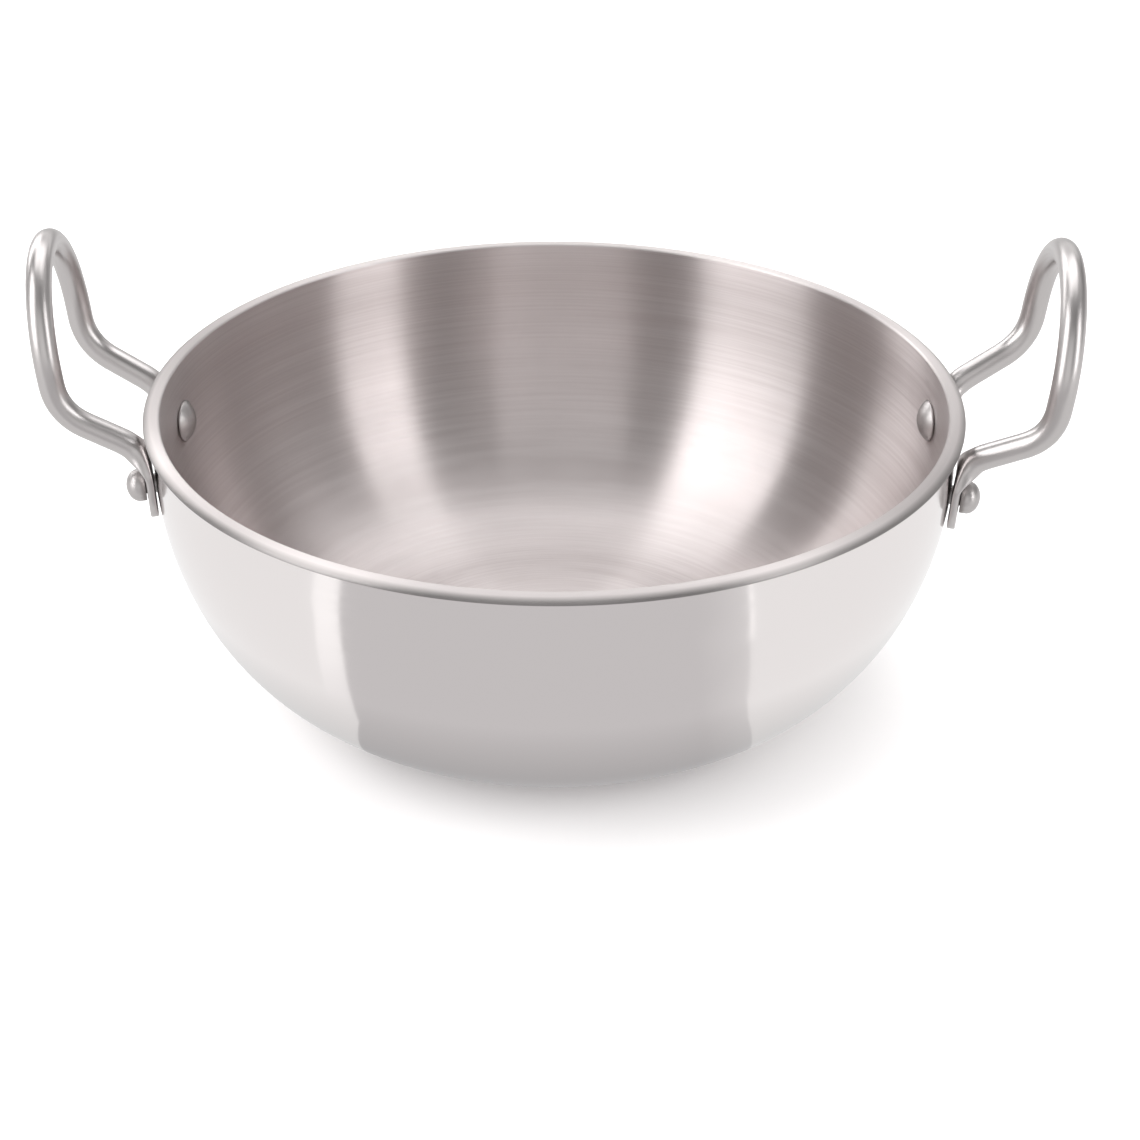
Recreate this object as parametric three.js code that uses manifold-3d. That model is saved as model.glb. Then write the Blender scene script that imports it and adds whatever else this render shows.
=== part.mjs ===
// Deep pan: a pressed aluminium bowl with two riveted wire loop handles.
// Millimetres, +Z up. The origin is the centre of the underside of the base,
// +X points to the right handle and -Y to the front.

import * as THREE from "three";
import { mergeVertices } from "three/addons/utils/BufferGeometryUtils.js";
import Module from "manifold-3d";

// Bowl
const RIM_DIAMETER = 240; // over the lip
const BOWL_HEIGHT = 89; // underside of the base to the top of the lip
const BASE_DIAMETER = 116; // the flat on which the bowl stands
const WALL = 2.5;
const STRAIGHT_WALL = 11.5; // upright stretch of the wall below the top of the lip
const LIP_OVERHANG = 2.4; // how far the lip stands out past the wall
const LIP_THICKNESS = 2;
const LIP_INNER_ROUND = 0.8;
const LIP_SHOULDER = 3.4; // width of the lip's rounded outer slope
const LIP_EDGE_ROUND = 0.4; // under the lip's edge
const LIP_ROOT_FILLET = 0.8;

// Handles, each bent from one wire whose ends are flattened into paddles
const WIRE_DIAMETER = 7.5;
const PADDLE_WIDTH = 15;
const PADDLE_THICKNESS = 2.5;
const PADDLE_BELOW_RIVET = 10; // rivet axis to the rounded end
const PADDLE_ABOVE_RIVET = 10.5; // rivet axis to where the wire leaves the wall
const PADDLE_END_ROUND = 7;
const PADDLE_SQUARENESS = 6; // power of the superellipse across a paddle
const WIRE_SQUARENESS = 2; // the same for the round wire
const FLATTENED_LENGTH = 14; // rounded end to where the section starts to turn round
const ROUND_FROM = 24; // rounded end to where the wire is fully round
const LEG_REACH = 21.5; // edge of the lip to the outer bend
const LEG_RISE = 4.9; // top of the lip to the outer bend
const LOOP_REACH = 26.5; // edge of the lip to the top of the loop
const LOOP_RISE = 45.8; // top of the lip to the wire's centre at the top of the loop
const LOOP_SHOULDER = 16.8; // top of the lip to where the arch begins
const WALL_BEND = 8; // set-back of the bend at the wall
const OUTER_BEND = 9; // set-back of the bend at the end of the leg

// The two loops were bent by hand: each has its own width and its own slant to the rim, which
// leaves one of its rivets low and the other high.
const RIGHT_LOOP_WIDTH = 59.4;
const RIGHT_SLANT = THREE.MathUtils.degToRad(3);
const LEFT_LOOP_WIDTH = 51;
const LEFT_SLANT = THREE.MathUtils.degToRad(2);
const HANDLES = [
  {
    name: "right",
    azimuth: 0,
    halfWidth: RIGHT_LOOP_WIDTH / 2,
    slant: RIGHT_SLANT,
    low: "front",
    high: "rear",
  },
  {
    name: "left",
    azimuth: Math.PI,
    halfWidth: LEFT_LOOP_WIDTH / 2,
    slant: LEFT_SLANT,
    low: "rear",
    high: "front",
  },
];

// Rivets, one through each paddle and the wall
const RIVET_PITCH = 44; // between the two rivets of a handle, measured at the wall
const RIVET_DEPTH = 18.6; // top of the lip down to the rivet axis
const SHANK_DIAMETER = 5.5;
const INNER_HEAD_DIAMETER = 12.6;
const INNER_HEAD_HEIGHT = 3;
const OUTER_HEAD_DIAMETER = 9.5;
const OUTER_HEAD_HEIGHT = 5.4;
const OUTER_HEAD_SKIRT = 1.8; // straight edge under the dome of the outer head

// Clearance between pieces that touch on the real pan
const FIT = 0.3;

// Length of the control arms of a cubic that draws a quarter ellipse, as a share of its half axes
const QUARTER_ARC = 0.5523;

// Points nearer than this are one point
const SAME_POINT = 1e-4;

// Facets
const BOWL_SIDES = 72;
const ELLIPSE_STEPS = 12; // of each quarter ellipse of the bowl
const LIP_ROUND_STEPS = 4; // of each round of the lip
const DOME_STEPS = 6; // of each rivet head
const WIRE_SIDES = 16;
const PADDLE_END_STEPS = 5; // of the round on the end of a paddle
const ROUTE_STEPS = [2, 10, 3, 6, 2, 9]; // of each stretch of a handle's half, from the paddle up
const RIVET_SIDES = 20;
const HOLE_SIDES = 20;

// Sizes that follow
const rimRadius = RIM_DIAMETER / 2;
const baseRadius = BASE_DIAMETER / 2;
const wallRadius = rimRadius - LIP_OVERHANG;
const curveTop = BOWL_HEIGHT - STRAIGHT_WALL; // height where the curved side begins
const curveWidth = wallRadius - baseRadius;
const paddleSeat = FIT + PADDLE_THICKNESS / 2; // wall to the middle of a paddle
const holeDiameter = SHANK_DIAMETER + 2 * FIT;
const drillLength = 4 * (WALL + PADDLE_THICKNESS); // through both, with room to spare

const bareMetal = (color, roughness) =>
  new THREE.MeshStandardMaterial({ color, roughness, metalness: 1 });
const polishedAluminium = bareMetal(0xd6d2d1, 0.2);
const steelWire = bareMetal(0xcfcccb, 0.25);
const rivetAluminium = bareMetal(0xbcb9b8, 0.45);

const wasm = await Module();
wasm.setup();

function withoutRepeats(points) {
  return points.filter((p, i) => i === 0 || p.distanceTo(points[i - 1]) > SAME_POINT);
}

function toSolid(geometry) {
  const bare = geometry.clone();
  bare.deleteAttribute("normal");
  bare.deleteAttribute("uv");
  const merged = mergeVertices(bare, SAME_POINT);
  return new wasm.Manifold(
    new wasm.Mesh({
      numProp: 3,
      vertProperties: merged.attributes.position.array,
      triVerts: new Uint32Array(merged.index.array),
    }),
  );
}

function toGeometry(solid) {
  const { vertProperties, triVerts } = solid.getMesh();
  const geometry = new THREE.BufferGeometry();
  geometry.setAttribute("position", new THREE.BufferAttribute(vertProperties, 3));
  geometry.setIndex(new THREE.BufferAttribute(triVerts, 1));
  geometry.computeVertexNormals();
  return geometry;
}

// The meridian of the outer wall at a height: its point and its slope, as the angle by
// which the wall leans out from upright.
function wallAt(height) {
  if (height >= curveTop) return { radius: wallRadius, lean: 0 };
  const drop = (curveTop - height) / curveTop;
  const across = Math.sqrt(1 - drop * drop);
  const lean = Math.atan2(drop / curveTop, across / curveWidth);
  return { radius: baseRadius + curveWidth * across, lean };
}

// A spot on the outer wall, with the directions out of it and up along it.
function wallSpot(azimuth, height) {
  const { radius, lean } = wallAt(height);
  const radial = new THREE.Vector3(Math.cos(azimuth), Math.sin(azimuth), 0);
  const upright = new THREE.Vector3(0, 0, 1);
  return {
    point: radial.clone().multiplyScalar(radius).setZ(height),
    out: radial.clone().multiplyScalar(Math.cos(lean)).addScaledVector(upright, -Math.sin(lean)),
    up: upright.clone().multiplyScalar(Math.cos(lean)).addScaledVector(radial, Math.sin(lean)),
  };
}

// Bowl: one turned section, from the middle of the underside round the lip to the
// middle of the inside.
function bowlSection() {
  const innerRadius = wallRadius - WALL;
  const lipUnder = BOWL_HEIGHT - LIP_THICKNESS;
  const quarter = Math.PI / 2;

  const outside = new THREE.Path();
  outside.moveTo(0, 0);
  outside.lineTo(baseRadius, 0);
  outside.absellipse(baseRadius, curveTop, curveWidth, curveTop, -quarter, 0, false, 0);

  const lip = new THREE.Path();
  lip.moveTo(wallRadius, curveTop);
  lip.lineTo(wallRadius, lipUnder - LIP_ROOT_FILLET);
  lip.absarc(
    wallRadius + LIP_ROOT_FILLET, lipUnder - LIP_ROOT_FILLET, LIP_ROOT_FILLET, Math.PI, quarter, true,
  );
  const edge = lipUnder + LIP_EDGE_ROUND;
  const slope = LIP_THICKNESS - LIP_EDGE_ROUND;
  lip.lineTo(rimRadius - LIP_EDGE_ROUND, lipUnder);
  lip.absarc(rimRadius - LIP_EDGE_ROUND, edge, LIP_EDGE_ROUND, -quarter, 0, false);
  lip.absellipse(rimRadius - LIP_SHOULDER, edge, LIP_SHOULDER, slope, 0, quarter, false, 0);
  lip.lineTo(innerRadius + LIP_INNER_ROUND, BOWL_HEIGHT);
  lip.absarc(
    innerRadius + LIP_INNER_ROUND, BOWL_HEIGHT - LIP_INNER_ROUND, LIP_INNER_ROUND, quarter, Math.PI, false,
  );
  lip.lineTo(innerRadius, curveTop);

  const inside = new THREE.Path();
  inside.moveTo(innerRadius, curveTop);
  inside.absellipse(baseRadius, curveTop, curveWidth - WALL, curveTop - WALL, 0, -quarter, true, 0);
  inside.lineTo(0, WALL);

  return withoutRepeats([
    ...outside.getPoints(ELLIPSE_STEPS / 2),
    ...lip.getPoints(LIP_ROUND_STEPS / 2),
    ...inside.getPoints(ELLIPSE_STEPS / 2),
  ]);
}

// A round bar along a spot's outward direction, for the holes of the rivets.
function drill(spot) {
  const bar = new THREE.CylinderGeometry(holeDiameter / 2, holeDiameter / 2, drillLength, HOLE_SIDES);
  bar.applyQuaternion(new THREE.Quaternion().setFromUnitVectors(new THREE.Vector3(0, 1, 0), spot.out));
  bar.translate(spot.point.x, spot.point.y, spot.point.z);
  return toSolid(bar);
}

function bowlGeometry(spots) {
  const turned = new THREE.LatheGeometry(bowlSection(), BOWL_SIDES);
  turned.rotateX(Math.PI / 2);
  const drilled = spots.reduce((solid, spot) => solid.subtract(drill(spot)), toSolid(turned));
  return toGeometry(drilled);
}

// The two rivet places of a handle, in the handle's own frame: +X out of the pan.
function rivetSpots(handle) {
  const height = BOWL_HEIGHT - RIVET_DEPTH;
  const azimuth = Math.asin(RIVET_PITCH / 2 / wallAt(height).radius);
  const shift = (RIVET_PITCH / 2) * Math.sin(handle.slant);
  return {
    low: wallSpot(-azimuth, height - shift),
    high: wallSpot(azimuth, height + shift),
  };
}

// One half of a handle's centre line, from the rounded end of a paddle to the top of the loop.
function halfRoute(spot, handle, side) {
  const pivot = BOWL_HEIGHT - RIVET_DEPTH;
  const slanted = (reach, across, rise) => {
    const point = new THREE.Vector3(rimRadius + reach, across, BOWL_HEIGHT + rise - pivot);
    point.applyAxisAngle(new THREE.Vector3(1, 0, 0), handle.slant);
    return point.setZ(point.z + pivot);
  };
  const leanAt = (rise) =>
    LEG_REACH + ((LOOP_REACH - LEG_REACH) * (rise - LEG_RISE)) / (LOOP_RISE - LEG_RISE);
  const across = side * handle.halfWidth;
  const archSide = LOOP_SHOULDER + QUARTER_ARC * (LOOP_RISE - LOOP_SHOULDER);

  const middle = spot.point.clone().addScaledVector(spot.out, paddleSeat);
  const end = middle.clone().addScaledVector(spot.up, -PADDLE_BELOW_RIVET);
  const wallCorner = middle.clone().addScaledVector(spot.up, PADDLE_ABOVE_RIVET);
  const outerCorner = slanted(LEG_REACH, across, LEG_RISE);
  const shoulder = slanted(leanAt(LOOP_SHOULDER), across, LOOP_SHOULDER);
  const top = slanted(LOOP_REACH, 0, LOOP_RISE);

  const towards = (from, to, length) =>
    from.clone().addScaledVector(to.clone().sub(from).normalize(), length);
  const wallIn = towards(wallCorner, end, WALL_BEND);
  const wallOut = towards(wallCorner, outerCorner, WALL_BEND);
  const outerIn = towards(outerCorner, wallCorner, OUTER_BEND);
  const outerOut = towards(outerCorner, shoulder, OUTER_BEND);

  return [
    new THREE.LineCurve3(end, wallIn),
    new THREE.QuadraticBezierCurve3(wallIn, wallCorner, wallOut),
    new THREE.LineCurve3(wallOut, outerIn),
    new THREE.QuadraticBezierCurve3(outerIn, outerCorner, outerOut),
    new THREE.LineCurve3(outerOut, shoulder),
    new THREE.CubicBezierCurve3(
      shoulder,
      slanted(leanAt(archSide), across, archSide),
      slanted(LOOP_REACH, QUARTER_ARC * across, LOOP_RISE),
      top,
    ),
  ];
}

// A handle's section at a distance from its rounded end. Roundness goes from 0 on the paddle
// to 1 on the wire.
function wireSection(distance) {
  const roundness = THREE.MathUtils.smoothstep(distance, FLATTENED_LENGTH, ROUND_FROM);
  const inset = Math.max(0, 1 - distance / PADDLE_END_ROUND);
  const width = THREE.MathUtils.lerp(PADDLE_WIDTH, WIRE_DIAMETER, roundness);
  return {
    roundness,
    width: width * Math.sqrt(1 - inset * inset),
    thickness: THREE.MathUtils.lerp(PADDLE_THICKNESS, WIRE_DIAMETER, roundness),
    power: THREE.MathUtils.lerp(PADDLE_SQUARENESS, WIRE_SQUARENESS, roundness),
  };
}

// Distances from a rounded end at which a half of the handle gets a ring of points.
function ringDistances(route) {
  const distances = [];
  for (let i = 1; i < PADDLE_END_STEPS; i++) {
    distances.push(PADDLE_END_ROUND * (1 - Math.cos((i / PADDLE_END_STEPS) * (Math.PI / 2))));
  }
  let start = 0;
  route.forEach((curve, k) => {
    const length = curve.getLength();
    for (let i = 1; i <= ROUTE_STEPS[k]; i++) distances.push(start + (length * i) / ROUTE_STEPS[k]);
    start += length;
  });
  return distances.sort((a, b) => a - b);
}

function pointOnRoute(route, distance) {
  let left = distance;
  for (const curve of route) {
    const length = curve.getLength();
    if (left <= length || curve === route.at(-1)) {
      const share = Math.min(1, left / length);
      return { point: curve.getPointAt(share), along: curve.getTangentAt(share) };
    }
    left -= length;
  }
}

// One half of the handle as rings of points, each a superellipse across the centre line.
function halfRings(spot, handle, side) {
  const route = halfRoute(spot, handle, side);
  const outwards = new THREE.Vector3(1, 0, 0);
  return ringDistances(route).map((distance) => {
    const { point, along } = pointOnRoute(route, distance);
    const { roundness, width, thickness, power } = wireSection(distance);
    const face = spot.out.clone().lerp(outwards, roundness);
    face.addScaledVector(along, -face.dot(along)).normalize();
    const across = new THREE.Vector3().crossVectors(along, face).multiplyScalar(side);
    return Array.from({ length: WIRE_SIDES }, (_, i) => {
      const angle = (2 * Math.PI * i) / WIRE_SIDES;
      const bend = (value) => Math.sign(value) * Math.abs(value) ** (2 / power);
      return point
        .clone()
        .addScaledVector(across, (width / 2) * bend(Math.cos(angle)))
        .addScaledVector(face, (thickness / 2) * bend(Math.sin(angle)));
    });
  });
}

// A closed skin over rings of points, with a flat cap on each end.
function skin(rings) {
  const count = rings[0].length;
  const points = rings.flat();
  const middles = [rings[0], rings.at(-1)].map((ring) =>
    ring.reduce((sum, p) => sum.add(p), new THREE.Vector3()).divideScalar(count),
  );
  const index = [];
  for (let r = 0; r + 1 < rings.length; r++) {
    for (let i = 0; i < count; i++) {
      const a = r * count + i;
      const b = r * count + ((i + 1) % count);
      index.push(a, b, b + count, a, b + count, a + count);
    }
  }
  const last = (rings.length - 1) * count;
  for (let i = 0; i < count; i++) {
    const next = (i + 1) % count;
    index.push(points.length, next, i, points.length + 1, last + i, last + next);
  }
  const geometry = new THREE.BufferGeometry().setFromPoints([...points, ...middles]);
  geometry.setIndex(index);
  return geometry;
}

function handleGeometry(handle, spots) {
  const low = halfRings(spots.low, handle, -1);
  const high = halfRings(spots.high, handle, 1);
  high.pop();
  const bent = toSolid(skin([...low, ...high.reverse()]));
  return toGeometry(bent.subtract(drill(spots.low)).subtract(drill(spots.high)));
}

// Rivet along +Y, with the outer surface of the wall at y = 0.
function rivetGeometry(wallHere) {
  const shank = SHANK_DIAMETER / 2;
  const inner = INNER_HEAD_DIAMETER / 2;
  const outer = OUTER_HEAD_DIAMETER / 2;
  // a flat head on the hollow wall rests on its edge
  const hollow = inner ** 2 / (2 * (wallHere - WALL));
  const innerSeat = -(WALL + hollow + FIT);
  const outerSeat = FIT + PADDLE_THICKNESS + FIT;
  const capRadius = (inner ** 2 + INNER_HEAD_HEIGHT ** 2) / (2 * INNER_HEAD_HEIGHT);
  const capAngle = Math.asin(inner / capRadius);
  const down = -Math.PI / 2;

  const section = new THREE.Path();
  section.absarc(0, innerSeat - INNER_HEAD_HEIGHT + capRadius, capRadius, down, down + capAngle, false);
  section.lineTo(shank, innerSeat);
  section.lineTo(shank, outerSeat);
  section.lineTo(outer, outerSeat);
  section.lineTo(outer, outerSeat + OUTER_HEAD_SKIRT);
  section.absellipse(
    0, outerSeat + OUTER_HEAD_SKIRT, outer, OUTER_HEAD_HEIGHT - OUTER_HEAD_SKIRT, 0, -down, false, 0,
  );
  const points = withoutRepeats(section.getPoints(DOME_STEPS / 2));
  // both ends lie on the axis, without the curves' rounding error
  points[0].x = 0;
  points.at(-1).x = 0;
  return new THREE.LatheGeometry(points, RIVET_SIDES);
}

function named(name, geometry, material) {
  const mesh = new THREE.Mesh(geometry, material);
  mesh.name = name;
  return mesh;
}

function turnedSpot(spot, azimuth) {
  const axis = new THREE.Vector3(0, 0, 1);
  return {
    point: spot.point.clone().applyAxisAngle(axis, azimuth),
    out: spot.out.clone().applyAxisAngle(axis, azimuth),
  };
}

const pan = new THREE.Group();
const holes = [];
for (const handle of HANDLES) {
  const spots = rivetSpots(handle);
  const group = new THREE.Group();
  group.rotation.z = handle.azimuth;
  group.add(named(handle.name + "_handle", handleGeometry(handle, spots), steelWire));
  for (const [end, spot] of Object.entries(spots)) {
    const wallHere = Math.hypot(spot.point.x, spot.point.y);
    const rivet = named(`${handle.name}_${handle[end]}_rivet`, rivetGeometry(wallHere), rivetAluminium);
    rivet.position.copy(spot.point);
    rivet.quaternion.setFromUnitVectors(new THREE.Vector3(0, 1, 0), spot.out);
    group.add(rivet);
    holes.push(turnedSpot(spot, handle.azimuth));
  }
  pan.add(group);
}
pan.add(named("bowl", bowlGeometry(holes), polishedAluminium));

export default pan;
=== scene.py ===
"""Deep pan of polished aluminium with two riveted wire loop handles, dressed for the camera."""

import math

import bpy
from mathutils import Matrix, Vector


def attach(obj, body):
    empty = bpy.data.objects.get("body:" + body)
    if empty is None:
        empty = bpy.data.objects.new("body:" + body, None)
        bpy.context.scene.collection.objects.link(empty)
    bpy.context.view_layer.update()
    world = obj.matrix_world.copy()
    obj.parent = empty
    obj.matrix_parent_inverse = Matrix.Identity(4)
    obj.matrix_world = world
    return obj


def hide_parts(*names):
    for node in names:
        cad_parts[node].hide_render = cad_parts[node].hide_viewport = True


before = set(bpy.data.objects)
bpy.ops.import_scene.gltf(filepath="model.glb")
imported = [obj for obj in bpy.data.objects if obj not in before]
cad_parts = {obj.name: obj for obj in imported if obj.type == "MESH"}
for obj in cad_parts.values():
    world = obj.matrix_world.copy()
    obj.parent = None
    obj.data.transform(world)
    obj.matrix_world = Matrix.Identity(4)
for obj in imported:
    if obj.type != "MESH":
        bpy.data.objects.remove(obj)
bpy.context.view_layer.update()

MM = 0.001

# Bowl, in millimetres
RIM_RADIUS = 120.0
BOWL_HEIGHT = 89.0
BASE_RADIUS = 58.0
WALL = 2.5
STRAIGHT_WALL = 11.5
LIP_OVERHANG = 2.4
LIP_THICKNESS = 2.0
LIP_INNER_ROUND = 0.8
LIP_SHOULDER = 3.4
LIP_EDGE_ROUND = 0.4
LIP_ROOT_FILLET = 0.8
WALL_RADIUS = RIM_RADIUS - LIP_OVERHANG
CURVE_TOP = BOWL_HEIGHT - STRAIGHT_WALL
CURVE_WIDTH = WALL_RADIUS - BASE_RADIUS

# Handles
WIRE = 7.5
PADDLE_WIDTH = 15.0
PADDLE_THICKNESS = 2.5
PADDLE_BELOW_RIVET = 10.0
PADDLE_ABOVE_RIVET = 10.5
PADDLE_END_ROUND = 7.0
PADDLE_SQUARENESS = 6.0
WIRE_SQUARENESS = 2.0
FLATTENED_LENGTH = 14.0
ROUND_FROM = 24.0
LEG_REACH = 21.5
LEG_RISE = 4.9
LOOP_REACH = 26.5
LOOP_RISE = 45.8
LOOP_SHOULDER = 16.8
WALL_BEND = 8.0
OUTER_BEND = 9.0
QUARTER_ARC = 0.5523
HANDLES = {
    "right": {"azimuth": 0.0, "half_width": 29.7, "slant": math.radians(3.0)},
    "left": {"azimuth": math.pi, "half_width": 25.5, "slant": math.radians(2.0)},
}

# Rivets
RIVET_PITCH = 44.0
RIVET_DEPTH = 18.6
SHANK_RADIUS = 2.75
INNER_HEAD_RADIUS = 6.3
INNER_HEAD_HEIGHT = 3.0
OUTER_HEAD_RADIUS = 4.75
OUTER_HEAD_HEIGHT = 5.4
OUTER_HEAD_SKIRT = 1.8
FIT = 0.3

# Fineness of the meshes
BOWL_SIDES = 240
ELLIPSE_STEPS = 60
FLAT_STEPS = 12
LIP_STEPS = 8
RIVET_SIDES = 48
DOME_STEPS = 12
WIRE_SIDES = 32
WIRE_STEP = 1.2
PADDLE_END_STEPS = 10
BEND_STEPS = 40
ARCH_STEPS = 80
MERGE = 1e-7

# Camera, fitted to the rim and the handles of the photograph
VIEW_DISTANCE = 850.0
VIEW_ELEVATION = math.radians(25.8)
VIEW_AZIMUTH = math.radians(0.93)
RIM_PLANE = 88.0
FOCAL_PIXELS = 2890.4
FRAME_PIXELS = 1140.0
RIM_CENTRE_PIXEL = (554.5, 400.2)
SENSOR = 36.0

# Soft boxes: their distance from the pan in metres, and for each the angles of its fan and its
# height in degrees, its size along and across the fan in metres, and its radiance
BOX_DISTANCE = 1.6
SOFT_BOXES = {
    "left_box": (33.3, 32, (1.7, 1.0), 3.05),
    "right_box": (-31.5, 24, (1.3, 0.6), 2.85),
    "side_box": (67, 58, (1.2, 0.5), 3.3),
    "right_fill": (-46, 85, (1.4, 0.7), 0.45),
    "front_box": (1, 25, (1.3, 1.2), 0.65),
    "top_box": (0, 112, (1.3, 1.65), 2.05),
    "back_box": (0, 154, (0.5, 2.4), 0.9),
}

# Floor and cards: heights in millimetres, just under the pan and just over its underside
FLOOR_HALF_WIDTH = 6000.0
FLOOR_HEIGHT = -0.2
CARD_HEIGHT = 0.3
STRIP_HEIGHT = 0.4

# Tones of the floor and of the studio's front, as the metal mirrors them
WHITE = "#FFFFFF"
GREY = "#D7D6D7"

# How bright the metal mirrors the studio at the horizon and overhead, and from which rise on
STUDIO_LOW = 0.5
STUDIO_HIGH = 0.26
STUDIO_HIGH_FROM = 0.5

# How the pan shades the floor that the metal mirrors: radii in millimetres, and the level inside
SHADE_FROM = 88.0
SHADE_TO = 126.0
SHADE = 0.72

# A noise texture's values lie mostly between these
NOISE_LOW = 0.3
NOISE_HIGH = 0.7

# Where a Mix node keeps its sockets for colours, which share their names with other kinds
MIX_FACTOR = 0
MIX_FIRST = 6
MIX_SECOND = 7
MIX_COLOR = 2


def linear(hex_code):
    """An sRGB hex colour as linear RGBA."""
    channels = [int(hex_code[i:i + 2], 16) / 255 for i in (1, 3, 5)]
    return [c / 12.92 if c <= 0.04045 else ((c + 0.055) / 1.055) ** 2.4 for c in channels] + [1.0]


def feed(tree, node, inputs):
    """Links or fills a node's inputs, by name or number."""
    for key, value in inputs.items():
        if isinstance(value, bpy.types.NodeSocket):
            tree.links.new(value, node.inputs[key])
        else:
            node.inputs[key].default_value = value


def add(tree, kind, inputs=None, **settings):
    """Adds a node to a tree with its settings and its inputs."""
    node = tree.nodes.new(kind)
    for name, value in settings.items():
        setattr(node, name, value)
    feed(tree, node, inputs or {})
    return node


# Materials

def bare_metal(name):
    """A material with one metal shader, still to be fed."""
    material = bpy.data.materials.new(name)
    material.use_nodes = True
    tree = material.node_tree
    tree.nodes.clear()
    shader = add(tree, "ShaderNodeBsdfPrincipled", {"Metallic": 1.0})
    add(tree, "ShaderNodeOutputMaterial", {"Surface": shader.outputs["BSDF"]})
    return material, tree, shader


def off_axis(tree):
    """How far a point lies from the pan's axis: as a flat vector and as its length."""
    place = add(tree, "ShaderNodeTexCoord").outputs["Object"]
    level = {0: place, 1: (1.0, 1.0, 0.0)}
    flat = add(tree, "ShaderNodeVectorMath", level, operation="MULTIPLY").outputs[0]
    return flat, add(tree, "ShaderNodeVectorMath", {0: flat}, operation="LENGTH").outputs["Value"]


def ring_lines(tree, spacing_mm, lobes, low, high):
    """Noise drawn out round the pan's axis: lines a given spacing apart along the wall, each
    fading in and out over about a turn divided by the lobes, between a low and a high value."""
    place = add(tree, "ShaderNodeTexCoord").outputs["Object"]
    split = add(tree, "ShaderNodeSeparateXYZ", {0: place}).outputs
    flat, radius = off_axis(tree)
    way = add(tree, "ShaderNodeVectorMath", {0: flat}, operation="NORMALIZE").outputs[0]
    along = add(tree, "ShaderNodeMath", {0: split["Z"], 1: radius}, operation="SUBTRACT").outputs[0]
    lift = add(tree, "ShaderNodeCombineXYZ", {"Z": along}).outputs[0]
    per_row = {0: lift, "Scale": 1 / (spacing_mm * MM)}
    rows = add(tree, "ShaderNodeVectorMath", per_row, operation="SCALE")
    turns = add(tree, "ShaderNodeVectorMath", {0: way, "Scale": lobes}, operation="SCALE")
    both = add(tree, "ShaderNodeVectorMath", {0: rows.outputs[0], 1: turns.outputs[0]}, operation="ADD")
    noise = add(tree, "ShaderNodeTexNoise", {"Vector": both.outputs[0], "Scale": 1.0, "Detail": 3.0})
    spread = {"From Min": NOISE_LOW, "From Max": NOISE_HIGH, "To Min": low, "To Max": high}
    return add(tree, "ShaderNodeMapRange", {"Value": noise.outputs["Fac"], **spread}).outputs["Result"]


def polished_aluminium():
    """Spun aluminium buffed to a mirror: clear reflections under a faint haze of buffing lines."""
    material, tree, shader = bare_metal("mirror_polished_aluminium")
    haze = ring_lines(tree, spacing_mm=2.0, lobes=3.0, low=0.1, high=0.14)
    feed(tree, shader, {"Base Color": linear("#E6E1E0"), "Roughness": haze})
    return material


def brushed_aluminium():
    """Spun aluminium dressed with an abrasive pad on the lathe: fine rings that draw every light
    out into a fan across the bowl."""
    material, tree, shader = bare_metal("satin_brushed_aluminium")
    fine = ring_lines(tree, spacing_mm=0.6, lobes=2.0, low=0.0, high=1.0)
    broad = ring_lines(tree, spacing_mm=5.0, lobes=1.5, low=-0.02, high=0.02)
    grain = add(tree, "ShaderNodeMapRange", {"Value": fine, "To Min": 0.32, "To Max": 0.37}).outputs[0]
    roughness = add(tree, "ShaderNodeMath", {0: grain, 1: broad}, operation="ADD").outputs[0]
    tone = add(tree, "ShaderNodeMix", data_type="RGBA")
    feed(tree, tone, {MIX_FACTOR: fine, MIX_FIRST: linear("#CFC7C6"), MIX_SECOND: linear("#DAD3D2")})
    tangent = add(tree, "ShaderNodeTangent", direction_type="RADIAL", axis="Z")
    feed(tree, shader, {
        "Base Color": tone.outputs[MIX_COLOR],
        "Roughness": roughness,
        "Anisotropic": 1.0,
        "Anisotropic Rotation": 0.25,
        "Tangent": tangent.outputs[0],
    })
    return material


def turned_lip():
    """The trimmed edge of the sheet, turned smooth: its lathe lines spread the light across the lip,
    so that it looks softer and greyer than the mirror below it. Towards the cut its colour is
    painted darker: a painted shade for the dark line under the lip."""
    material, tree, shader = bare_metal("turned_aluminium_lip")
    lines = ring_lines(tree, spacing_mm=0.5, lobes=4.0, low=0.46, high=0.52)
    # Painted shade: from this radius out to the lip's edge its colour is painted darker, for the dark
    # line under the lip
    shade_from_mm = 118.0
    radius = off_axis(tree)[1]
    span = {"From Min": shade_from_mm * MM, "From Max": RIM_RADIUS * MM}
    painted_lip_shade = add(tree, "ShaderNodeMapRange", {"Value": radius, **span}).outputs["Result"]
    # The lip's own tone, blended into a darker painted shade towards its outer edge
    tone = add(tree, "ShaderNodeMix", data_type="RGBA")
    feed(tree, tone, {MIX_FACTOR: painted_lip_shade, MIX_FIRST: linear("#D4CECD"), MIX_SECOND: linear("#A09C9B")})
    tangent = add(tree, "ShaderNodeTangent", direction_type="RADIAL", axis="Z")
    feed(tree, shader, {
        "Base Color": tone.outputs[MIX_COLOR],
        "Roughness": lines,
        "Anisotropic": 0.9,
        "Anisotropic Rotation": 0.25,
        "Tangent": tangent.outputs[0],
    })
    return material


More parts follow.
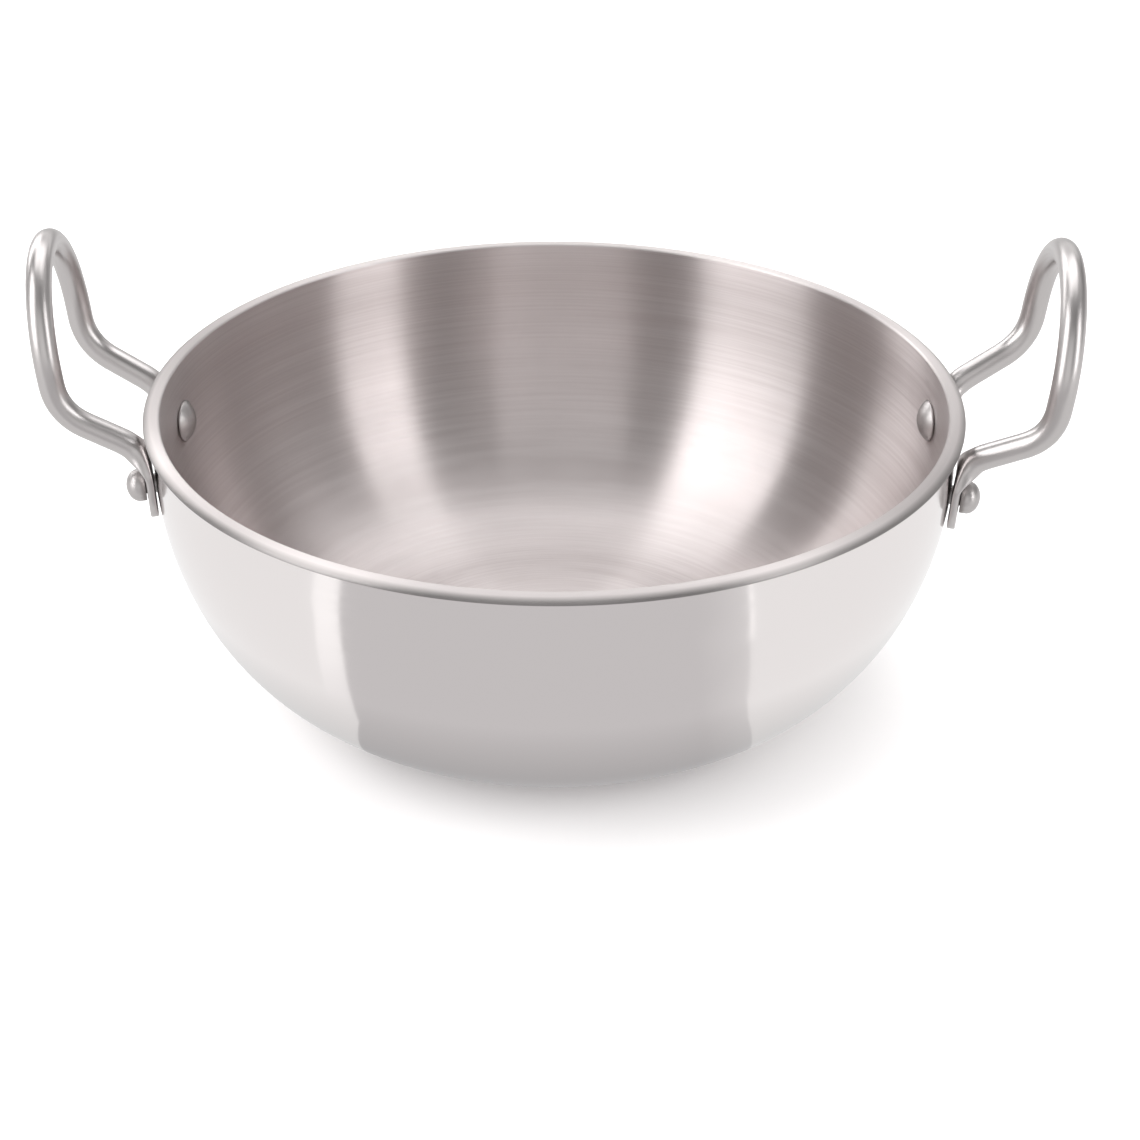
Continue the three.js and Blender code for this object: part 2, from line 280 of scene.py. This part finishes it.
def drawn_wire():
    """Bright drawn steel wire: polished, with die lines along its length."""
    material, tree, shader = bare_metal("bright_drawn_steel")
    line_length_mm = 25.0
    lines_round = 24.0
    route = add(tree, "ShaderNodeUVMap", uv_map="route").outputs[0]
    scale = (1 / (line_length_mm * MM), lines_round, 1.0)
    drawn = add(tree, "ShaderNodeMapping", {"Vector": route, "Scale": scale})
    lines = add(tree, "ShaderNodeTexNoise", {"Vector": drawn.outputs[0], "Scale": 1.0, "Detail": 3.0})
    spread = {"From Min": NOISE_LOW, "From Max": NOISE_HIGH, "To Min": 0.28, "To Max": 0.38}
    roughness = add(tree, "ShaderNodeMapRange", {"Value": lines.outputs["Fac"], **spread})
    feed(tree, shader, {"Base Color": linear("#BEBAB9"), "Roughness": roughness.outputs["Result"]})
    return material


def rivet_metal():
    """Cold-headed aluminium rivets left as they came from the press: matt and finely grained."""
    material, tree, shader = bare_metal("cold_headed_aluminium")
    grain_mm = 0.6
    place = add(tree, "ShaderNodeTexCoord").outputs["Object"]
    fineness = {"Scale": 1 / (grain_mm * MM), "Detail": 3.0}
    grain = add(tree, "ShaderNodeTexNoise", {"Vector": place, **fineness})
    depth = {"Strength": 0.15, "Distance": 0.3 * MM}
    bump = add(tree, "ShaderNodeBump", {"Height": grain.outputs["Fac"], **depth})
    spread = {"From Min": NOISE_LOW, "From Max": NOISE_HIGH, "To Min": 0.32, "To Max": 0.5}
    roughness = add(tree, "ShaderNodeMapRange", {"Value": grain.outputs["Fac"], **spread})
    feed(tree, shader, {
        "Base Color": linear("#B8B4B3"),
        "Roughness": roughness.outputs["Result"],
        "Normal": bump.outputs[0],
    })
    return material


OUTSIDE = polished_aluminium()
INSIDE = brushed_aluminium()
LIP = turned_lip()
STEEL = drawn_wire()
RIVET = rivet_metal()


# Sections that are turned about an axis: lists of (radius, height) in millimetres

def arc(centre, radii, start, end, steps):
    """Points of an ellipse's arc, angles in quarter turns."""
    points = []
    for i in range(steps + 1):
        angle = math.radians(90 * (start + (end - start) * i / steps))
        points.append((centre[0] + radii[0] * math.cos(angle), centre[1] + radii[1] * math.sin(angle)))
    return points


def bowl_sections():
    """The bowl's meridian as three stretches: outside, lip and inside."""
    inner = WALL_RADIUS - WALL
    under = BOWL_HEIGHT - LIP_THICKNESS
    slope = LIP_THICKNESS - LIP_EDGE_ROUND
    curve = (BASE_RADIUS, CURVE_TOP)
    outside = [(BASE_RADIUS * i / FLAT_STEPS, 0.0) for i in range(FLAT_STEPS)]
    outside += arc(curve, (CURVE_WIDTH, CURVE_TOP), -1, 0, ELLIPSE_STEPS)
    root = (WALL_RADIUS + LIP_ROOT_FILLET, under - LIP_ROOT_FILLET)
    outside += arc(root, (LIP_ROOT_FILLET, LIP_ROOT_FILLET), 2, 1, LIP_STEPS)
    edge = (RIM_RADIUS - LIP_EDGE_ROUND, under + LIP_EDGE_ROUND)
    lip = arc(edge, (LIP_EDGE_ROUND, LIP_EDGE_ROUND), -1, 0, LIP_STEPS)[:-1]
    lip += arc((RIM_RADIUS - LIP_SHOULDER, edge[1]), (LIP_SHOULDER, slope), 0, 1, 2 * LIP_STEPS)
    brim = (inner + LIP_INNER_ROUND, BOWL_HEIGHT - LIP_INNER_ROUND)
    lip += arc(brim, (LIP_INNER_ROUND, LIP_INNER_ROUND), 1, 2, LIP_STEPS)
    inside = arc(curve, (CURVE_WIDTH - WALL, CURVE_TOP - WALL), 0, -1, ELLIPSE_STEPS)
    inside += [(BASE_RADIUS * i / FLAT_STEPS, WALL) for i in range(FLAT_STEPS - 1, -1, -1)]
    return outside, lip, inside


def rivet_section():
    """A rivet along its own +Z, with the outer surface of the wall at 0."""
    wall_radius = wall_at(BOWL_HEIGHT - RIVET_DEPTH)[0] - WALL
    inner_seat = -(WALL + INNER_HEAD_RADIUS**2 / (2 * wall_radius) + FIT)
    outer_seat = PADDLE_THICKNESS + 2 * FIT
    cap = (INNER_HEAD_RADIUS**2 + INNER_HEAD_HEIGHT**2) / (2 * INNER_HEAD_HEIGHT)
    cap_turn = math.degrees(math.asin(INNER_HEAD_RADIUS / cap)) / 90
    dome = OUTER_HEAD_HEIGHT - OUTER_HEAD_SKIRT
    points = arc((0, inner_seat - INNER_HEAD_HEIGHT + cap), (cap, cap), -1, -1 + cap_turn, DOME_STEPS)
    points += [(SHANK_RADIUS, inner_seat), (SHANK_RADIUS, outer_seat), (OUTER_HEAD_RADIUS, outer_seat)]
    points += arc((0, outer_seat + OUTER_HEAD_SKIRT), (OUTER_HEAD_RADIUS, dome), 0, 1, DOME_STEPS)
    return points


def wall_at(height):
    """Radius of the outer wall at a height, and the angle by which it leans out from upright."""
    if height >= CURVE_TOP:
        return WALL_RADIUS, 0.0
    drop = (CURVE_TOP - height) / CURVE_TOP
    across = math.sqrt(1 - drop * drop)
    return BASE_RADIUS + CURVE_WIDTH * across, math.atan2(drop / CURVE_TOP, across / CURVE_WIDTH)


def wall_spot(azimuth, height):
    """A point of the outer wall with the directions out of it and up along it."""
    radius, lean = wall_at(height)
    radial = Vector((math.cos(azimuth), math.sin(azimuth), 0.0))
    up = Vector((0.0, 0.0, 1.0))
    out = radial * math.cos(lean) - up * math.sin(lean)
    upwards = up * math.cos(lean) + radial * math.sin(lean)
    return radial * radius + up * height, out, upwards


def rivet_spots(handle):
    """The low and the high rivet place of a handle, in the handle's own frame."""
    height = BOWL_HEIGHT - RIVET_DEPTH
    azimuth = math.asin(RIVET_PITCH / 2 / wall_at(height)[0])
    shift = RIVET_PITCH / 2 * math.sin(handle["slant"])
    return wall_spot(-azimuth, height - shift), wall_spot(azimuth, height + shift)


# Geometry Nodes: a section turned about the axis, and rivets set on points

def new_tree(name, inputs):
    """An empty Geometry Nodes tree with one geometry output, and its input sockets."""
    tree = bpy.data.node_groups.new(name, "GeometryNodeTree")
    tree.interface.new_socket("Geometry", in_out="OUTPUT", socket_type="NodeSocketGeometry")
    for label, kind in inputs.items():
        tree.interface.new_socket(label, in_out="INPUT", socket_type="NodeSocket" + kind)
    return tree, add(tree, "NodeGroupInput").outputs


def turning_tree():
    """Turns a section about the Z axis and gives each of its three stretches a finish."""
    tree, given = new_tree("turn_section", {
        "Section": "Object",
        "Section Points": "Int",
        "Sides": "Int",
        "First Finish": "Material",
        "Second Finish": "Material",
        "Third Finish": "Material",
        "Second From": "Int",
        "Third From": "Int",
    })
    section = add(tree, "GeometryNodeObjectInfo", {"Object": given["Section"]}).outputs["Geometry"]
    rows = add(tree, "ShaderNodeMath", {0: given["Sides"], 1: 1.0}, operation="ADD").outputs[0]
    counts = {"Vertices X": given["Section Points"], "Vertices Y": rows}
    grid = add(tree, "GeometryNodeMeshGrid", {"Size X": 1.0, "Size Y": 1.0, **counts}).outputs["Mesh"]
    index = add(tree, "GeometryNodeInputIndex").outputs[0]
    exact = add(tree, "ShaderNodeMath", {0: index, 1: rows}, operation="DIVIDE").outputs[0]
    step = add(tree, "ShaderNodeMath", {0: exact}, operation="FLOOR").outputs[0]
    side = add(tree, "ShaderNodeMath", {0: index, 1: rows}, operation="MODULO").outputs[0]
    here = add(tree, "GeometryNodeInputPosition").outputs[0]
    sample = add(tree, "GeometryNodeSampleIndex", data_type="FLOAT_VECTOR", domain="POINT")
    feed(tree, sample, {"Geometry": section, "Value": here, "Index": step})
    share = add(tree, "ShaderNodeMath", {0: side, 1: given["Sides"]}, operation="DIVIDE").outputs[0]
    angle = add(tree, "ShaderNodeMath", {0: share, 1: 2 * math.pi}, operation="MULTIPLY").outputs[0]
    place = add(tree, "ShaderNodeVectorRotate", {"Vector": sample.outputs["Value"], "Angle": angle})
    marked = add(tree, "GeometryNodeStoreNamedAttribute", data_type="FLOAT", domain="POINT")
    feed(tree, marked, {"Geometry": grid, "Name": "step", "Value": step})
    moved = {"Geometry": marked.outputs[0], "Position": place.outputs[0]}
    turned = add(tree, "GeometryNodeSetPosition", moved)
    joined = {"Geometry": turned.outputs[0], "Distance": MERGE}
    closed = add(tree, "GeometryNodeMergeByDistance", joined)
    smooth = add(tree, "GeometryNodeSetShadeSmooth", {"Geometry": closed.outputs[0]})
    made = add(tree, "GeometryNodeRealizeInstances", {"Geometry": smooth.outputs[0]})
    kept = add(tree, "GeometryNodeInputNamedAttribute", {"Name": "step"}, data_type="FLOAT")
    finish = {"Geometry": made.outputs[0], "Material": given["First Finish"]}
    shown = add(tree, "GeometryNodeSetMaterial", finish)
    for stretch in ("Second", "Third"):
        limits = {"A": kept.outputs[0], "B": given[stretch + " From"]}
        beyond = add(tree, "FunctionNodeCompare", limits, data_type="FLOAT", operation="GREATER_THAN")
        finish = {"Selection": beyond.outputs[0], "Material": given[stretch + " Finish"]}
        shown = add(tree, "GeometryNodeSetMaterial", {"Geometry": shown.outputs[0], **finish})
    add(tree, "NodeGroupOutput", {"Geometry": shown.outputs[0]})
    return tree


def riveting_tree(turning):
    """Sets one turned rivet on each place, along the direction kept with it."""
    tree, given = new_tree("set_rivets", {
        "Places": "Object",
        "Section": "Object",
        "Section Points": "Int",
        "Sides": "Int",
        "Finish": "Material",
    })
    shape = {name: given[name] for name in ("Section", "Section Points", "Sides")}
    rivet = add(tree, "GeometryNodeGroup", shape, node_tree=turning).outputs[0]
    places = add(tree, "GeometryNodeObjectInfo", {"Object": given["Places"]}).outputs["Geometry"]
    points = add(tree, "GeometryNodeMeshToPoints", {"Mesh": places}).outputs[0]
    out = add(tree, "GeometryNodeInputNamedAttribute", {"Name": "out"}, data_type="FLOAT_VECTOR")
    turn = add(tree, "FunctionNodeAlignRotationToVector", {"Vector": out.outputs[0]}, axis="Z")
    set_out = {"Points": points, "Instance": rivet, "Rotation": turn.outputs[0]}
    instances = add(tree, "GeometryNodeInstanceOnPoints", set_out).outputs[0]
    made = add(tree, "GeometryNodeRealizeInstances", {"Geometry": instances}).outputs[0]
    shown = add(tree, "GeometryNodeSetMaterial", {"Geometry": made, "Material": given["Finish"]})
    add(tree, "NodeGroupOutput", {"Geometry": shown.outputs[0]})
    return tree


def helper(name, points, edges=()):
    """An object outside the scene that hands points to a tree, given in millimetres."""
    mesh = bpy.data.meshes.new(name)
    mesh.from_pydata([[c * MM for c in point] for point in points], edges, [])
    return bpy.data.objects.new(name, mesh)


def section_helper(name, points):
    """A section as a helper, with its points joined up in the XZ plane."""
    edges = [(i, i + 1) for i in range(len(points) - 1)]
    return helper(name, [(radius, 0.0, height) for radius, height in points], edges)


def run_tree(name, tree, values):
    """A plain mesh object from a Geometry Nodes tree, with its named inputs set."""
    piece = bpy.data.objects.new(name, bpy.data.meshes.new(name))
    bpy.context.collection.objects.link(piece)
    modifier = piece.modifiers.new("nodes", "NODES")
    modifier.node_group = tree
    for item in tree.interface.items_tree:
        if item.in_out == "INPUT":
            modifier[item.identifier] = values[item.name]
    graph = bpy.context.evaluated_depsgraph_get()
    mesh = bpy.data.meshes.new_from_object(piece.evaluated_get(graph))
    piece.modifiers.remove(modifier)
    piece.data = mesh
    mesh.name = name
    for value in values.values():
        if isinstance(value, bpy.types.Object):
            bpy.data.objects.remove(value)
    return piece


def make_bowl(turning):
    """The bowl, with its outside, lip and inside each in its own finish."""
    outside, lip, inside = bowl_sections()
    points = outside + lip + inside
    return run_tree("pan_bowl", turning, {
        "Section": section_helper("bowl_section", points),
        "Section Points": len(points),
        "Sides": BOWL_SIDES,
        "First Finish": OUTSIDE,
        "Second Finish": LIP,
        "Third Finish": INSIDE,
        "Second From": len(outside) - 1,
        "Third From": len(outside) + len(lip) - 2,
    })


def make_rivets(turning):
    """Four rivets, each through a paddle and the wall."""
    spots = []
    for handle in HANDLES.values():
        turn = Matrix.Rotation(handle["azimuth"], 3, "Z")
        spots += [(turn @ point, turn @ out) for point, out, up in rivet_spots(handle)]
    places = helper("rivet_places", [point for point, out in spots])
    ways = places.data.attributes.new("out", "FLOAT_VECTOR", "POINT")
    for way, (point, out) in zip(ways.data, spots):
        way.vector = out
    points = rivet_section()
    return run_tree("pan_rivets", riveting_tree(turning), {
        "Places": places,
        "Section": section_helper("rivet_section", points),
        "Section Points": len(points),
        "Sides": RIVET_SIDES,
        "Finish": RIVET,
    })


# Handles

def bezier(points, steps):
    """Points of a Bezier curve of any degree."""
    made = []
    for i in range(steps + 1):
        level = list(points)
        while len(level) > 1:
            level = [a.lerp(b, i / steps) for a, b in zip(level, level[1:])]
        made.append(level[0])
    return made


def half_route(spot, handle, side):
    """One half of a handle's centre line, from a paddle's end to the top of the loop."""
    pivot = BOWL_HEIGHT - RIVET_DEPTH
    slant = Matrix.Rotation(handle["slant"], 3, "X")

    def slanted(reach, across, rise):
        turned = slant @ Vector((RIM_RADIUS + reach, across, BOWL_HEIGHT + rise - pivot))
        return turned + Vector((0.0, 0.0, pivot))

    def lean_at(rise):
        return LEG_REACH + (LOOP_REACH - LEG_REACH) * (rise - LEG_RISE) / (LOOP_RISE - LEG_RISE)

    point, out, up = spot
    across = side * handle["half_width"]
    arch_side = LOOP_SHOULDER + QUARTER_ARC * (LOOP_RISE - LOOP_SHOULDER)
    middle = point + out * (FIT + PADDLE_THICKNESS / 2)
    end = middle - up * PADDLE_BELOW_RIVET
    wall_corner = middle + up * PADDLE_ABOVE_RIVET
    outer_corner = slanted(LEG_REACH, across, LEG_RISE)
    shoulder = slanted(lean_at(LOOP_SHOULDER), across, LOOP_SHOULDER)
    top = slanted(LOOP_REACH, 0.0, LOOP_RISE)

    def towards(start, goal, length):
        return start + (goal - start).normalized() * length

    wall_in = towards(wall_corner, end, WALL_BEND)
    wall_out = towards(wall_corner, outer_corner, WALL_BEND)
    outer_in = towards(outer_corner, wall_corner, OUTER_BEND)
    outer_out = towards(outer_corner, shoulder, OUTER_BEND)
    arch = [
        shoulder,
        slanted(lean_at(arch_side), across, arch_side),
        slanted(LOOP_REACH, QUARTER_ARC * across, LOOP_RISE),
        top,
    ]
    line = [end]
    line += bezier([wall_in, wall_corner, wall_out], BEND_STEPS)
    line += bezier([outer_in, outer_corner, outer_out], BEND_STEPS)
    line += bezier(arch, ARCH_STEPS)
    return line


def smooth_step(value, low, high):
    """A share from 0 to 1 that eases in and out between two values."""
    share = min(1.0, max(0.0, (value - low) / (high - low)))
    return share * share * (3 - 2 * share)


def lengths_along(line):
    """Distance of each point of a line from its first one."""
    lengths = [0.0]
    for a, b in zip(line, line[1:]):
        lengths.append(lengths[-1] + (b - a).length)
    return lengths


def walk(line, wanted):
    """Points and directions at given distances along a line of points."""
    lengths = lengths_along(line)
    made = []
    k = 0
    for distance in wanted:
        while k < len(line) - 2 and lengths[k + 1] < distance:
            k += 1
        share = (distance - lengths[k]) / (lengths[k + 1] - lengths[k])
        made.append(line[k].lerp(line[k + 1], share))
    ways = []
    for i in range(len(made)):
        ways.append((made[min(i + 1, len(made) - 1)] - made[max(i - 1, 0)]).normalized())
    return made, ways


def half_rings(spot, handle, side):
    """One half of a handle as rings of points, and the distance of each from the paddle's end."""
    line = half_route(spot, handle, side)
    distances = []
    for i in range(1, PADDLE_END_STEPS + 1):
        distances.append(PADDLE_END_ROUND * (1 - math.cos(math.pi / 2 * i / PADDLE_END_STEPS)))
    rest = lengths_along(line)[-1] - PADDLE_END_ROUND
    count = math.ceil(rest / WIRE_STEP)
    distances += [PADDLE_END_ROUND + rest * i / count for i in range(1, count + 1)]
    points, ways = walk(line, distances)
    ways[-1] = Vector((0.0, -side * math.cos(handle["slant"]), -side * math.sin(handle["slant"])))
    rings = []
    for distance, point, along in zip(distances, points, ways):
        blend = smooth_step(distance, FLATTENED_LENGTH, ROUND_FROM)
        inset = max(0.0, 1 - distance / PADDLE_END_ROUND)
        width = (PADDLE_WIDTH + (WIRE - PADDLE_WIDTH) * blend) * math.sqrt(1 - inset * inset)
        thickness = PADDLE_THICKNESS + (WIRE - PADDLE_THICKNESS) * blend
        power = PADDLE_SQUARENESS + (WIRE_SQUARENESS - PADDLE_SQUARENESS) * blend
        face = spot[1].lerp(Vector((1.0, 0.0, 0.0)), blend)
        face = (face - along * face.dot(along)).normalized()
        across = along.cross(face) * side
        ring = []
        for i in range(WIRE_SIDES):
            angle = 2 * math.pi * i / WIRE_SIDES
            c, s = math.cos(angle), math.sin(angle)
            x = width / 2 * math.copysign(abs(c) ** (2 / power), c)
            y = thickness / 2 * math.copysign(abs(s) ** (2 / power), s)
            ring.append(point + across * x + face * y)
        rings.append(ring)
    return rings, distances


def make_handle(name, handle):
    """A handle as one closed skin over the rings of its two halves."""
    low, high = rivet_spots(handle)
    low_rings, low_at = half_rings(low, handle, -1)
    high_rings, high_at = half_rings(high, handle, 1)
    rings = low_rings + high_rings[-2::-1]
    length = low_at[-1] + high_at[-1]
    at = low_at + [length - d for d in high_at[-2::-1]]
    turn = Matrix.Rotation(handle["azimuth"], 3, "Z")
    vertices = [turn @ p * MM for ring in rings for p in ring]
    faces, uvs = [], []
    for r in range(len(rings) - 1):
        for i in range(WIRE_SIDES):
            j = (i + 1) % WIRE_SIDES
            here, there = r * WIRE_SIDES, (r + 1) * WIRE_SIDES
            faces.append([here + i, here + j, there + j, there + i])
            start, end = at[r] * MM, at[r + 1] * MM
            left, right = i / WIRE_SIDES, (i + 1) / WIRE_SIDES
            uvs += [(start, left), (start, right), (end, right), (end, left)]
    last = (len(rings) - 1) * WIRE_SIDES
    faces.append(list(range(WIRE_SIDES - 1, -1, -1)))
    faces.append(list(range(last, last + WIRE_SIDES)))
    uvs += [(0.0, i / WIRE_SIDES) for i in range(2 * WIRE_SIDES)]
    mesh = bpy.data.meshes.new(name)
    mesh.from_pydata(vertices, [], faces)
    layer = mesh.uv_layers.new(name="route")
    for loop, uv in zip(layer.data, uvs):
        loop.uv = uv
    mesh.polygons.foreach_set("use_smooth", [True] * len(mesh.polygons))
    mesh.materials.append(STEEL)
    piece = bpy.data.objects.new(name, mesh)
    bpy.context.collection.objects.link(piece)
    return piece


turning = turning_tree()
bowl = make_bowl(turning)
rivets = make_rivets(turning)
left_handle = make_handle("pan_left_handle", HANDLES["left"])
right_handle = make_handle("pan_right_handle", HANDLES["right"])

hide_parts("bowl")
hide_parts("left_handle")
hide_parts("right_handle")
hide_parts("left_front_rivet", "left_rear_rivet", "right_front_rivet", "right_rear_rivet")
for piece, slot in (
    (bowl, "polished_aluminium"),
    (left_handle, "steel_wire"),
    (right_handle, "steel_wire"),
    (rivets, "rivet_aluminium"),
):
    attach(piece, "root")


# Camera

def make_camera():
    """A camera aimed so that the middle of the rim falls on its pixel, with no shift."""
    centre = Vector((0.0, 0.0, RIM_PLANE * MM))
    back = Vector((
        math.sin(VIEW_AZIMUTH) * math.cos(VIEW_ELEVATION),
        -math.cos(VIEW_AZIMUTH) * math.cos(VIEW_ELEVATION),
        math.sin(VIEW_ELEVATION),
    ))
    data = bpy.data.cameras.new("camera")
    data.sensor_width = SENSOR
    data.lens = FOCAL_PIXELS * SENSOR / FRAME_PIXELS
    camera = bpy.data.objects.new("camera", data)
    camera.location = centre + back * VIEW_DISTANCE * MM
    half = FRAME_PIXELS / 2
    pitch = math.atan((half - RIM_CENTRE_PIXEL[1]) / FOCAL_PIXELS)
    yaw = math.atan((half - RIM_CENTRE_PIXEL[0]) / FOCAL_PIXELS)
    aim = (-back).to_track_quat("-Z", "Y").to_matrix()
    aim = aim @ Matrix.Rotation(-pitch, 3, "X") @ Matrix.Rotation(-yaw, 3, "Y")
    camera.rotation_euler = aim.to_euler()
    bpy.context.collection.objects.link(camera)
    bpy.context.scene.camera = camera


make_camera()


# Stage: a white floor that keeps the shadow, cards for the mirror, and soft boxes over the pan

def flat_stage(name, corners, height, faces):
    """A flat piece of the stage from its corners in millimetres, with an empty material."""
    mesh = bpy.data.meshes.new(name)
    mesh.from_pydata([(x * MM, y * MM, height * MM) for x, y in corners], [], faces)
    material = bpy.data.materials.new(name)
    material.use_nodes = True
    material.node_tree.nodes.clear()
    mesh.materials.append(material)
    piece = bpy.data.objects.new(name, mesh)
    bpy.context.collection.objects.link(piece)
    return piece, material.node_tree


def shaded_glow(tree, color, strength):
    """A plain glow for the metal to mirror, dimmer where the pan shades the floor."""
    place = add(tree, "ShaderNodeTexCoord").outputs["Object"]
    radius = add(tree, "ShaderNodeVectorMath", {0: place}, operation="LENGTH").outputs["Value"]
    span = {"From Min": SHADE_FROM * MM, "From Max": SHADE_TO * MM}
    span.update({"To Min": SHADE * strength, "To Max": strength})
    level = add(tree, "ShaderNodeMapRange", {"Value": radius, **span}).outputs["Result"]
    return add(tree, "ShaderNodeEmission", {"Color": color, "Strength": level}).outputs[0]


def make_floor():
    """White paper: it keeps the pan's shadow, and the metal mirrors it as a white glow with a painted
    shadow near the pan.
    """
    half = FLOOR_HALF_WIDTH
    corners = [(-half, -half), (half, -half), (half, half), (-half, half)]
    tree = flat_stage("floor", corners, FLOOR_HEIGHT, [[0, 1, 2, 3]])[1]
    paper = add(tree, "ShaderNodeBsdfDiffuse", {"Color": linear("#FCFBFB")}).outputs[0]
    mirrored = add(tree, "ShaderNodeLightPath").outputs["Is Glossy Ray"]
    # Painted shadow: the glow that the metal mirrors is dimmed near the pan
    white = shaded_glow(tree, linear(WHITE), 1.0)
    seen = add(tree, "ShaderNodeMixShader", {0: mirrored, 1: paper, 2: white}).outputs[0]
    add(tree, "ShaderNodeOutputMaterial", {"Surface": seen})


def make_card(name, height, strength, inner, outer):
    """A card on the floor that only the metal sees, from its inner to its outer edge. Each corner of
    an edge has a whiteness, from the grey of the studio's front to white."""
    rows = list(zip(inner, inner[1:], outer[1:], outer))
    corners = [corner[:2] for row in rows for corner in row]
    card, tree = flat_stage(name, corners, height, [range(4 * k, 4 * k + 4) for k in range(len(rows))])
    shares = card.data.attributes.new("whiteness", "FLOAT", "POINT")
    shares.data.foreach_set("value", [corner[2] for row in rows for corner in row])
    whiteness = add(tree, "ShaderNodeAttribute", attribute_name="whiteness").outputs["Fac"]
    tone = add(tree, "ShaderNodeMix", data_type="RGBA")
    feed(tree, tone, {MIX_FACTOR: whiteness, MIX_FIRST: linear(GREY), MIX_SECOND: linear(WHITE)})
    glow = shaded_glow(tree, tone.outputs[MIX_COLOR], strength)
    add(tree, "ShaderNodeOutputMaterial", {"Surface": glow})
    card.visible_camera = False
    card.visible_diffuse = False
    card.visible_shadow = False


def make_cards():
    """A grey card before the pan, which the front of the bowl mirrors. A white wedge lies along its
    left edge; its right edge fades to a thin white line. Corners are x, y and whiteness."""
    front = -900
    left = [(-51, -50, 0), (-63, -74, 0), (-69, -86, 0), (-81, -97, 0)]
    left += [(-128, -134, 0), (-423, -342, 0), (-423, front, 0)]
    right = [(34, -48, 0), (46, -74, 0), (55, -94, 0), (68, -122, 0)]
    right += [(105, -184, 0), (300, -520, 0), (300, front, 0)]
    fade = [(55, -48, 0.4), (65, -70, 0.4), (73, -87, 0.4), (82, -100, 0.4)]
    fade += [(127, -144, 0.4), (432, -402, 0.4), (432, front, 0.4)]
    make_card("grey_card", CARD_HEIGHT, 1.0, left, right)
    make_card("right_fade", CARD_HEIGHT, 1.0, right, fade)
    line = [(127, -144, 1), (432, -402, 1)]
    line_out = [(127, -140, 1), (432, -384, 1)]
    make_card("right_line", STRIP_HEIGHT, 1.3, line, line_out)
    wedge = [(-81, -97, 0.44), (-109, -120, 0.8), (-152, -151, 1), (-423, -342, 1)]
    wedge_out = [(-86, -84, 0.44), (-114, -102, 0.8), (-156, -127, 1), (-415, -248, 1)]
    make_card("left_wedge", STRIP_HEIGHT, 1.22, wedge, wedge_out)


def fan_box(name, fan, height, size, radiance):
    """A strip lamp that the brushing draws out into a fan. The fan lies at an angle from the back
    of the pan, to the right; the lamp stands at a height angle above the front. Size is along the
    fan and across it, in metres."""
    fan, height = math.radians(fan), math.radians(height)
    radial = Vector((math.sin(fan), math.cos(fan), 0.0))
    across = Vector((math.cos(fan), -math.sin(fan), 0.0))
    up = Vector((0.0, 0.0, 1.0))
    offset = -math.cos(VIEW_ELEVATION) * math.sin(fan)
    reach = math.sqrt(1 - offset * offset)
    place = across * offset + (up * math.sin(height) - radial * math.cos(height)) * reach
    along = up * math.cos(height) + radial * math.sin(height)
    data = bpy.data.lights.new(name, "AREA")
    data.shape = "RECTANGLE"
    data.size, data.size_y = size
    data.energy = radiance * math.pi * size[0] * size[1]
    lamp = bpy.data.objects.new(name, data)
    axes = Matrix((along, place.cross(along), place)).transposed().to_4x4()
    lamp.matrix_world = Matrix.Translation(place * BOX_DISTANCE) @ axes
    bpy.context.collection.objects.link(lamp)


def make_world():
    """A white studio, which the metal mirrors as grey, darker overhead."""
    world = bpy.data.worlds.new("studio")
    world.use_nodes = True
    tree = world.node_tree
    tree.nodes.clear()
    way = add(tree, "ShaderNodeTexCoord").outputs["Generated"]
    rise = add(tree, "ShaderNodeSeparateXYZ", {0: way}).outputs["Z"]
    span = {"From Min": 0.0, "From Max": STUDIO_HIGH_FROM, "To Min": STUDIO_LOW, "To Max": STUDIO_HIGH}
    dusk = add(tree, "ShaderNodeMapRange", {"Value": rise, **span}).outputs["Result"]
    mirrored = add(tree, "ShaderNodeLightPath").outputs["Is Glossy Ray"]
    levels = {"Factor": mirrored, "A": 1.0, "B": dusk}
    level = add(tree, "ShaderNodeMix", levels, data_type="FLOAT").outputs["Result"]
    back = add(tree, "ShaderNodeBackground", {"Color": linear(WHITE), "Strength": level})
    add(tree, "ShaderNodeOutputWorld", {"Surface": back.outputs[0]})
    bpy.context.scene.world = world


make_floor()
make_cards()
make_world()
for name, box in SOFT_BOXES.items():
    fan_box(name, *box)

bpy.context.scene.view_settings.view_transform = "Standard"
